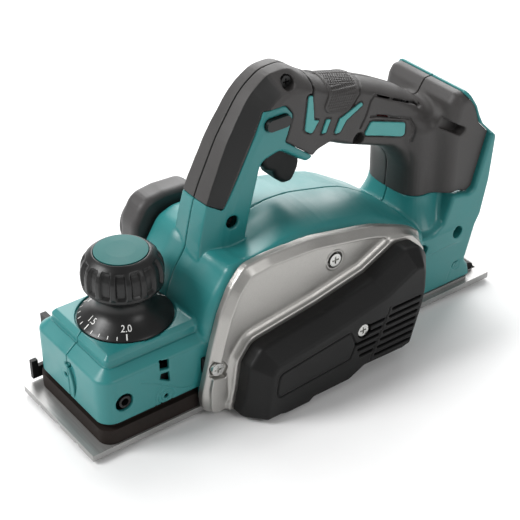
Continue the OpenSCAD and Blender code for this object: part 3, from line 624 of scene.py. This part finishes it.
def make_body():
    """The teal shell and the black grip, each in two halves that meet at the centre plane."""
    g = Grid([(-160, 0.8), (84, 0.5), (152, 0)], even(-46, 46, 0.64),
             [(2, 0.7), (16, 0.5), (62, 0.75), (198, 0)])
    inner_hump = hump_solid(g, WALL, BELOW_ALL)
    inner = either(either(box_solid(g, WALL, BELOW_ALL), inner_hump),
                   rear_solid(g, WALL, BELOW_ALL))
    inner = either(inner, collar_solid(g, 4))
    base = either(either(box_solid(g, 0, BOX_FOOT), hump_solid(g, 0, FOOT), 2),
                  rear_solid(g, 0, FOOT), 2)
    base = either(base, both(collar_solid(g, 0), np.abs(g.y) - 38), 3)
    handle = handle_solid(g)
    column = column_solid(g)
    upper = either(handle, column, 7)
    slot = outline(g.x, g.z, SIDE_SLOT)
    upper_inner = without(either(handle + WALL, column + WALL), slot - 3)
    zone = outline(g.x, g.z, TEAL_ZONE)
    free = cuts(g)
    teal = without(base, inner)
    teal_upper = both(without(handle, upper_inner), zone + HALF_SEAM)
    teal = either(without(teal, handle + WALL), without(teal_upper, inner_hump), 0.8)
    teal = either(teal, screw_tubes(g, base))
    teal = without(teal, free)
    black = without(without(upper, upper_inner), zone - HALF_SEAM, 0.3)
    black = either(black, both(screw_tubes(g, upper), 1 - zone))
    outer_forms = (hump_solid(g, 0, BELOW_ALL), rear_solid(g, 0, BELOW_ALL), collar_solid(g, 0))
    for solid in outer_forms:
        black = without(black, solid - 0.15)
    hem = np.interp(g.x, [-136, -129.5, -90, -89], [72.4, 75.75, 75.75, 0]).astype(np.float32)
    black = without(both(black, hem - g.z), free)
    black = detail_grip(g, black, slot)
    teal = detail_box(g, teal)
    for side, word in ((1, "left"), (-1, "right")):
        wells = screw_wells(g, side)
        joint = HALF_SEAM - side * g.y
        piece("shell_" + word, g, both(without(teal, wells, 0.4), joint, 0.25), TEAL,
              stands_for=["housing_" + word], ratio=0.3)
        piece("grip_shell_" + word, g, both(without(black, wells, 0.4), joint, 0.5), GRIP,
              stands_for=["grip_" + word], ratio=0.4)


def detail_grip(g, d, slot):
    """Grooves across the grip, moats around the trim and the blind slot in the cap."""
    lines = [
        [(-24.6, 188), (-23.4, 180), (-22.8, 177.2), (-20.6, 171.6)],
        [(-67, 172), (-63.4, 165.9), (-59.8, 163.8), (-54.9, 158.7), (-51.2, 153.1)],
        [(-58.4, 137.4), (-62.6, 144.4), (-66, 153.6), (-69, 156.4), (-105.1, 138.8),
         (-107.2, 136), (-111.2, 135.4)],
        [(-66.5, 142.6), (-72.4, 141.4), (-98.4, 131.6), (-100.4, 125.7), (-98, 117)],
    ]
    for line in lines:
        d = engrave(d, path(g.x, g.z, line), 0.75, 1.2)
    for zone in (TICK, SLASH, LAST):
        d = engrave(d, np.abs(outline(g.x, g.z, zone) - 0.4), 0.5, 1.0)
    badge = np.abs(outline(g.x, g.z, BADGE) - 0.4)
    d = engrave(d, np.where(g.y > 0, badge, 9), 0.5, 1.0)
    return without(d, both(slot, 25.5 - np.abs(g.y)), 0.8)


def detail_box(g, d):
    """The boss, the windows and the fine lines on the front box, and the rings at the rear."""
    front = np.abs(g.x - BOX_FRONT)
    side = 38 - g.y
    boss = np.sqrt((g.y + 2.8) ** 2 + (g.z - 32) ** 2)
    moon = outline(g.y, g.z, [(-2.6, 41.4, 0.4), (3.9, 44.8, 2), (8, 42, 3), (9.8, 36, 6),
                              (8.4, 27.9, 10), (4.8, 18.4), (5.4, 26.2, 10), (4, 32.2, 6),
                              (1.4, 38.6, 3), (-2.6, 40, 0.4)])
    d = without(d, both(moon, front - 2.0), 0.3)
    d = engrave(d, both(np.abs(boss - 4.2), front - 4), 0.3, 0.4)
    d = without(d, both(boss - 1.7, front - 4), 0.2)
    d = without(d, both(rod_y(g, 132.6, 31, 5.8), 34 - g.y), 0.4)
    upper_window = [(107.6, 48.8, 0.5), (101.2, 47.6, 0.5), (101.4, 41, 0.5), (107.8, 42.4, 0.5)]
    lower_window = [(107.2, 39.6, 0.5), (101.5, 39, 0.5), (101.1, 31.4, 0.5), (108, 35.8, 0.5)]
    for window in (upper_window, lower_window):
        d = without(d, both(outline(g.x, g.z, window), 30 - g.y), 0.2)
    for radius in (2.9, 5.2):
        ring = np.abs(rod_y(g, 104.2, 22.2, radius))
        d = engrave(d, np.maximum(ring, side), 0.28, 0.5)
    d = without(d, both(rod_y(g, 104.2, 22.2, 1.5), 36 - g.y), 0.2)
    tail = 36.6 - g.y
    for radius in (1.3, 3):
        ring = np.abs(rod_y(g, -128.4, 19.8, radius))
        d = engrave(d, np.maximum(ring, tail), 0.35, 0.6)
    corner = path(g.x, g.z, [(-120.4, 9), (-123.4, 17), (-126, 22.4), (-140, 24)])
    d = engrave(d, np.maximum(corner, tail), 0.3, 0.5)
    for line in ([(121, 39.8), (109.5, 33.6), (94.4, 23), (85.4, 20)],
                 [(106.4, 31.1), (109.6, 28.4), (111.4, 24.4), (111.8, 17)]):
        d = engrave(d, np.maximum(path(g.x, g.z, line), side), 0.25, 0.4)
    return d


def patch(g, surface, zone, low, high, side=0):
    """A thin sheet that hugs a surface inside a zone seen from the side."""
    sheet = both(both(surface - high, low - surface), zone, 0.25)
    return both(sheet, 4 - side * g.y) if side else sheet


def make_grip_trim():
    """The dimpled pad, the teal marks and the blank badge, all hugging the grip."""
    g = Grid(even(-102, -8, 0.45), even(-24, 24, 0.45), even(112, 186, 0.45))
    surface = handle_solid(g)
    pad_zone = outline(g.x, g.z, [(-38.6, 190), (-35.6, 174.1, 20), (-29, 159.5, 4),
                                  (-32.4, 155.6, 4), (-47.6, 151.8, 4), (-53.2, 158, 6),
                                  (-57.6, 163, 8), (-62.6, 167, 8), (-66, 190)])
    pads = patch(g, surface, pad_zone, -0.8, 0.5)
    rim = np.abs(pad_zone + 0.9) - 0.45
    pads = either(pads, both(both(rim, surface - 0.95), -0.5 - surface), 0.2)
    for i in range(19):
        for k in range(18):
            x = -31 - 1.8 * i - 0.9 * (k % 2)
            beside = both(rod_y(g, x, 172 - 1.8 * k - 0.3 * i, 0.66), 11.5 - np.abs(g.y))
            above = both(rod_z(g, x, 1.8 * (k - 8.5), 0.66), np.abs(g.y) - 11.5)
            dimple = both(either(beside, above), pad_zone + 2.4)
            pads = np.maximum(pads, np.minimum(-dimple, surface + 0.15))
    pads = np.maximum(pads, 0.15 - np.abs(g.y))
    marks = np.float32(1e3)
    for side in (1, -1):
        for zone in (TICK, SLASH, LAST):
            marks = either(marks, patch(g, surface, outline(g.x, g.z, zone), -0.5, 0.7, side))
    plate = outline(g.x, g.z, BADGE)
    piece("pad_texture", g, pads, GRIP, stands_for=["grip_pads"], ratio=0.6)
    piece("accent_slashes", g, marks, TEAL_TRIM, stands_for=["grip_accents"], ratio=0.5)
    piece("blank_badge", g, patch(g, surface, plate, -0.5, 0.8, 1), TEAL_TRIM,
          stands_for=["badge_plate"], ratio=0.5)


# ---------- the left side ----------

PLATE_BACK = 42.2
PLATE_FACE = 51
COVER_BACK = 51.05
COVER_FACE = 74

PLATE = [(66, 1.2, 7), (82, 1.2, 8), (84.6, 14, 20), (79, 36, 20), (75.2, 50, 30), (69.5, 68, 30),
         (61.5, 84.5, 26), (52, 95.6, 12), (36, 97.4, 30), (2, 96.3, 80), (-46, 86.6, 90),
         (-76, 74, 40), (-84, 69, 5), (-85.6, 60, 5), (-80, 40, 10), (-72, 6, 6), (-60, 2, 6)]
COVER = [(67, 1.6, 2), (63, 18, 40), (60.4, 36, 8), (52, 46.6, 8), (4, 53.6), (-33, 61.4),
         (-58, 73.5, 6), (-70, 71.6, 8), (-82, 56, 8), (-74.5, 36, 20), (-61.5, 10.5, 5),
         (-50, 7.8, 3), (-19, 8.6, 3), (-7, 3, 3), (21, 2.8, 1), (24.4, 0.4, 1), (41.6, 0.4, 1),
         (46, 1.6, 1)]
CROWN = [(x, z - 14 if z < 12 else z, *r) for x, z, *r in COVER]
RECESS = [(79, 40.4, 1), (69.4, 37.6, 1.5), (66.8, 32.6, 2), (69.8, 27, 1.5), (79, 29, 1)]


def make_side_plate():
    """The bright cast plate with its rim, its field and the ridge around the cover."""
    g = Grid(even(-90, 90, 0.45), even(40, 57, 0.45), even(-3, 101, 0.45))
    shape = outline(g.x, g.z, PLATE)
    cover = outline(g.x, g.z, COVER)
    d = both(both(shape, 0.67 * shape + 0.74 * (g.y - 46.6), 0.8), g.y - PLATE_FACE, 0.4)
    d = both(d, PLATE_BACK - g.y)
    field = both(shape + 6.2, 49.7 - g.y)
    d = without(d, field, 0.35)
    ridge = both(both(cover - 3.2, g.y - 53.6, 1.2), 48 - g.y)
    ridge = both(ridge, shape + 1.5, 1.0)
    d = either(d, ridge, 4)
    post = both(both(np.abs(g.x - 74.5) - 6, g.z - 30), both(shape + 2.4, g.y - 51.4), 0.5)
    d = either(d, both(post, PLATE_BACK - g.y), 0.6)
    d = both(d, PLATE_BACK - g.y)
    hollow = both(shape + 3.5, g.y - 47)
    bosses = [(DRUM_X, DRUM_Z, 17), (MOTOR_X, MOTOR_Z, 15), (*FRONT_SCREW, 6), (*TOP_SCREW, 6),
              (*COVER_SCREW, 5)]
    for x, z, r in bosses:
        hollow = without(hollow, rod_y(g, x, z, r))
    d = without(d, hollow)
    d = without(d, both(outline(g.x, g.z, RECESS), 47.4 - g.y), 0.4)
    d = without(d, both(rod_y(g, *FRONT_SCREW, 4.6), 46.4 - g.y), 0.3)
    d = without(d, both(rod_y(g, *TOP_SCREW, 5.4), 46.6 - g.y), 0.4)
    collar = both(np.abs(rod_y(g, *TOP_SCREW, 6.2)) - 0.7, both(g.y - 50.4, 47 - g.y), 0.2)
    d = either(d, collar, 0.3)
    for x, z, r in ((DRUM_X, DRUM_Z, 13.1), (MOTOR_X, MOTOR_Z, 11.1)):
        d = without(d, both(rod_y(g, x, z, r), g.y - 50.4))
        d = without(d, rod_y(g, x, z, r - 4))
    for x, z in (FRONT_SCREW, TOP_SCREW, COVER_SCREW):
        d = without(d, rod_y(g, x, z, 2.1))
    piece("cast_plate", g, d, CAST, stands_for=["side_plate"], ratio=0.35)


def cover_solid(g, inset, outer):
    """The cover's outer form: an upright wall, a bevel on three sides and a slanted rear."""
    shape = outline(g.x, g.z, COVER) + inset
    bevel = 0.77 * (outline(g.x, g.z, CROWN) + inset) + 0.64 * (g.y - outer + 11)
    rear = 0.753 * (-66.5 - g.x) + 0.659 * (g.y - outer)
    return both(both(both(shape, bevel, 1), rear, 2), g.y - outer, 1)


def make_belt_cover():
    """The black belt cover with its bevel, inset panel and level vents between low ribs."""
    g = Grid(even(-86, 70, 0.45), even(48, 77, 0.45), even(-4, 77, 0.45))
    outer = cover_solid(g, 0, COVER_FACE)
    d = both(without(outer, cover_solid(g, 2.4, COVER_FACE - 2.4)), COVER_BACK - g.y)
    d = either(d, both(both(rod_y(g, *COVER_SCREW, 4.4), outer), COVER_BACK - g.y))
    panel = outline(g.x, g.z, [(49.6, 14.6, 4), (46.4, 31.4, 5), (-7, 38.6, 2), (-11.4, 28, 2),
                               (-7, 18.6, 2)])
    d = engrave(d, np.abs(panel), 0.6, 0.9)
    for k in range(7):
        z = 42.4 - 4.9 * k
        gap = -38 + 2.2 * k
        spans = [(gap - 2.5, -63 + 1.2 * k)]
        if 1 <= k <= 5:
            spans.append((-20 + 2 * k if k < 3 else -12 - 1.5 * (k - 3), gap + 2))
        for x0, x1 in spans:
            vent = path(g.x, g.z, [(x0, z), (x1, z)])
            d = engrave(d, vent, 0.75, 1.3)
            lip = path(g.x, g.z, [(x0, z - 1.5), (x1, z - 1.5)]) - 0.45
            d = either(d, both(both(lip, outer - 0.5), COVER_FACE - 2 - g.y), 0.2)
        d = engrave(d, path(g.x, g.z, [(gap, z + 2), (gap + 1, z - 2.4)]), 0.4, 0.8)
    d = without(d, both(rod_y(g, *COVER_SCREW, 5), 69.8 - g.y), 0.4)
    d = without(d, rod_y(g, *COVER_SCREW, 2.1))
    piece("belt_guard", g, d, BLACK, stands_for=["belt_cover"], ratio=0.4)


# ---------- the right side ----------

PORT = (47, 73.2)
PORT_MOUTH = -66


def make_chip_duct():
    """The grey black chip duct with a window towards the body and a round outlet."""
    g = Grid(even(16, 80, 0.5), even(-69, -34, 0.5), even(47, 108, 0.5))
    shape = outline(g.x, g.z, [(21, 51.5, 6), (73, 51.5, 8), (73, 88, 14), (64.5, 102.5, 14),
                               (49, 104.4, 12), (30, 103.4, 10), (21, 95, 10)])
    d = both(shape, np.maximum(-58 - g.y, g.y + 37.4), 6)
    d = both(d, g.y + 38.2)
    d = without(d, both(shape + 2.6, np.maximum(-55.2 - g.y, g.y + 40.8)))
    d = without(d, block(g, 24.5, 55.5, -43, -36, 60.5, 87.5))
    port = both(rod_y(g, *PORT, 20), np.maximum(PORT_MOUTH - g.y, g.y + 56), 0.8)
    rim = both(rod_y(g, *PORT, 20.8), np.maximum(PORT_MOUTH - g.y, g.y + 63), 0.6)
    d = either(either(d, port, 2.5), rim, 0.4)
    d = without(d, both(rod_y(g, *PORT, 17.5), g.y + 54.5), 0.5)
    d = without(d, both(rod_y(g, DRUM_X, DRUM_Z, 29.4), -42.2 - g.y))
    piece("chip_outlet", g, d, DUCT, stands_for=["chip_duct"], ratio=0.4)


# ---------- the trigger ----------

def make_trigger():
    """The two-lobed trigger under the handle."""
    g = Grid(even(-24, 18, 0.4), even(-10.5, 10.5, 0.4), even(108, 156, 0.4))
    shape = outline(g.x, g.z, [(9.6, 130, 2), (11.5, 142, 3), (8, 152, 4), (-2, 148, 4),
                               (-15, 138, 3), (-17.8, 125, 2), (-17, 120.6, 6),
                               (-12.3, 112.6, 4), (-6, 112.8, 4), (-0.5, 117.4, 3),
                               (1.8, 123.4, 3), (7, 126.2, 2.5)])
    d = both(shape, np.abs(g.y) - 9, 3)
    d = without(d, rod_y(g, 8, 145, 2.6))
    piece("trigger_paddle", g, d, BLACK, body="trigger_lever", stands_for=["trigger"], ratio=0.4)


# ---------- the knob ----------

FLUTES = 16
STEPS_PER_FLUTE = 20
DIAL_SLOPE = [(17, 72), (18.2, 69), (20.5, 66.2), (24, 63.4), (27, 61.4), (28.8, 60.1)]


def make_knob():
    """The depth knob: a flared dial skirt, a neck and a grip with sunken flutes."""
    profile = [(7.05, 58.7), (28.4, 58.7), (29, 59.3), (28.8, 60.1), (27, 61.4), (24, 63.4),
               (20.5, 66.2), (18.2, 69), (17, 72), (16.7, 75), (17.2, 77.3), (19.5, 79),
               (22.2, 80.6), (23.6, 82.4), (24.1, 83.2), (23.7, 83.9), (24.4, 85), (24.7, 88),
               (24.7, 92), (24.2, 95.4), (22.9, 98.8), (20.8, 101.6), (18.6, 103.4),
               (17.2, 104.4), (16.3, 104.5), (16.2, 103.6), (16.2, 96), (7.05, 96)]
    rows = []
    for (r0, z0), (r1, z1) in zip(profile, profile[1:]):
        count = max(1, int(math.hypot(r1 - r0, z1 - z0) / 0.9)) if z0 > 83 and z0 < 103 else 1
        rows += [(r0 + (r1 - r0) * k / count, z0 + (z1 - z0) * k / count) for k in range(count)]
    rows.append(profile[-1])
    turns = FLUTES * STEPS_PER_FLUTE
    points = []
    for r, z in rows:
        for i in range(turns):
            a = 2 * math.pi * i / turns
            across = abs(((i / STEPS_PER_FLUTE) % 1) - 0.5) * 2
            sunk = min(1, max(0, (0.66 - across) / 0.14))
            ends = min(1, max(0, (z - 84.8) / 1.2)) * min(1, max(0, (101.2 - z) / 1.4))
            depth = 1.9 * sunk * ends if r > 18 else 0
            points.append(((KNOB_X + (r - depth) * math.cos(a)) * MM,
                           (r - depth) * math.sin(a) * MM, z * MM))
    faces = []
    count = len(rows)
    for k in range(count):
        n = (k + 1) % count
        for i in range(turns):
            j = (i + 1) % turns
            faces.append((k * turns + i, k * turns + j, n * turns + j, n * turns + i))
    settle(add_mesh("depth_dial", points, faces), KNOB, "knob", ["depth_knob"])


def on_dial(radius, angle, lift=0.12):
    """A point on the dial skirt, angle in degrees from +X."""
    radii, heights = zip(*DIAL_SLOPE)
    z = float(np.interp(radius, radii, heights)) + lift
    a = math.radians(angle)
    return ((KNOB_X + radius * math.cos(a)) * MM, radius * math.sin(a) * MM, z * MM)


def make_spring():
    """The coil spring over the shoe, drawn at one length, though the real one flattens as the shoe
    rises.
    """
    g = Grid(even(94, 117, 0.3), even(-11.5, 11.5, 0.3), even(11.4, 27, 0.3))
    pitch, start, turns = 3, 13.2, 4
    middle_z = start + pitch * turns / 2
    turn = np.arctan2(g.y, g.x - KNOB_X) / (2 * np.pi)
    level = pitch * (np.mod((g.z - start) / pitch - turn + 0.5, 1) - 0.5)
    wire = np.hypot(rod_z(g, KNOB_X, 0, 9.4), level) - 0.9
    d = both(wire, np.abs(g.z - middle_z) - 6.4)
    spring = piece("depth_coil", g, d, GREY_STEEL, stands_for=["depth_spring"], ratio=0.5)
    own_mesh(spring)


def make_dial_print():
    """White ticks and depth figures around the dial skirt."""
    points, faces = [], []

    def quad(corners):
        faces.append(tuple(range(len(points), len(points) + len(corners))))
        points.extend(on_dial(*c) for c in corners)

    first_angle, tick_angle, outer = -180, 12, 28.2
    for k in range(21):
        angle = first_angle + tick_angle * k
        inner = 25.0 if k % 5 == 0 else 26.4
        half = 0.75 if k % 5 == 0 else 0.55
        quad([(inner, angle - half * 28 / inner), (outer, angle - half),
              (outer, angle + half), (inner, angle + half * 28 / inner)])
    settle(add_mesh("dial_ticks", points, faces), WHITE, "knob")
    for k, label in enumerate(("0", "0.5", "1.0", "1.5", "2.0")):
        angle = first_angle + 5 * tick_angle * k
        text = bpy.data.curves.new("figure", "FONT")
        text.body = label
        text.size = 5.4
        text.align_x = "CENTER"
        text.resolution_u = 4
        shape = add_object("figure", text)
        graph = bpy.context.evaluated_depsgraph_get()
        mesh = bpy.data.meshes.new_from_object(shape.evaluated_get(graph))
        bpy.data.objects.remove(shape)
        for vertex in mesh.vertices:
            radius = 24.0 - vertex.co.y * 0.9
            turn = math.degrees(vertex.co.x / 22.5)
            vertex.co = Vector(on_dial(radius, angle + turn, 0.2))
        settle(add_object("dial_" + label.replace(".", "_"), mesh), WHITE, "knob")


# ---------- camera and light ----------

def make_camera():
    """A long lens above the front left corner."""
    lens = bpy.data.cameras.new("camera")
    lens.sensor_width = 36
    lens.lens = 98.06
    lens.clip_start = 0.01
    cam = add_object("camera", lens)
    place = Vector((444.4, 597.5, 547.5)) * MM
    target = Vector((-0.85, -9.73, 50)) * MM
    look = (target - place).normalized()
    right = look.cross(Vector((0, 0, 1))).normalized()
    up = right.cross(look)
    roll = math.radians(-0.59)
    right, up = (right * math.cos(roll) + up * math.sin(roll),
                 up * math.cos(roll) - right * math.sin(roll))
    turn = Matrix((right, up, -look)).transposed()
    cam.matrix_world = Matrix.Translation(place) @ turn.to_4x4()
    bpy.context.scene.camera = cam


def lamp(name, place, size, watts):
    """A square soft box that faces the middle of the tool."""
    light = bpy.data.lights.new(name, "AREA")
    light.size = size
    light.energy = watts
    obj = add_object(name, light)
    obj.location = place
    obj.rotation_euler = (Vector((0, 0, 0.05)) - Vector(place)).to_track_quat("-Z", "Y").to_euler()


def make_studio():
    """A pale floor, a soft surround and soft boxes."""
    world = bpy.data.worlds.new("surround")
    bpy.context.scene.world = world
    world.use_nodes = True
    world.node_tree.nodes["Background"].inputs["Color"].default_value = (1, 1, 1, 1)
    world.node_tree.nodes["Background"].inputs["Strength"].default_value = 0.34
    bpy.context.scene.view_settings.view_transform = "Standard"
    reach, level = 3, -0.002
    corners = [(-reach, -reach, level), (reach, -reach, level),
               (reach, reach, level), (-reach, reach, level)]
    floor = add_mesh("floor", corners, [(0, 1, 2, 3)])
    floor.data.materials.append(finish("floor", (0.92, 0.92, 0.92), 0.8, mottle=0.01))
    lamp("key", (1.7, -0.8, 1.6), 1.0, 44)
    lamp("back", (-1.0, -1.4, 1.3), 2.2, 72)
    lamp("side", (-0.3, 1.7, 1.2), 0.7, 8)


dress_cad_nodes()
make_body()
make_grip_trim()
make_side_plate()
make_belt_cover()
make_chip_duct()
make_trigger()
make_knob()
make_spring()
make_dial_print()
make_camera()
make_studio()
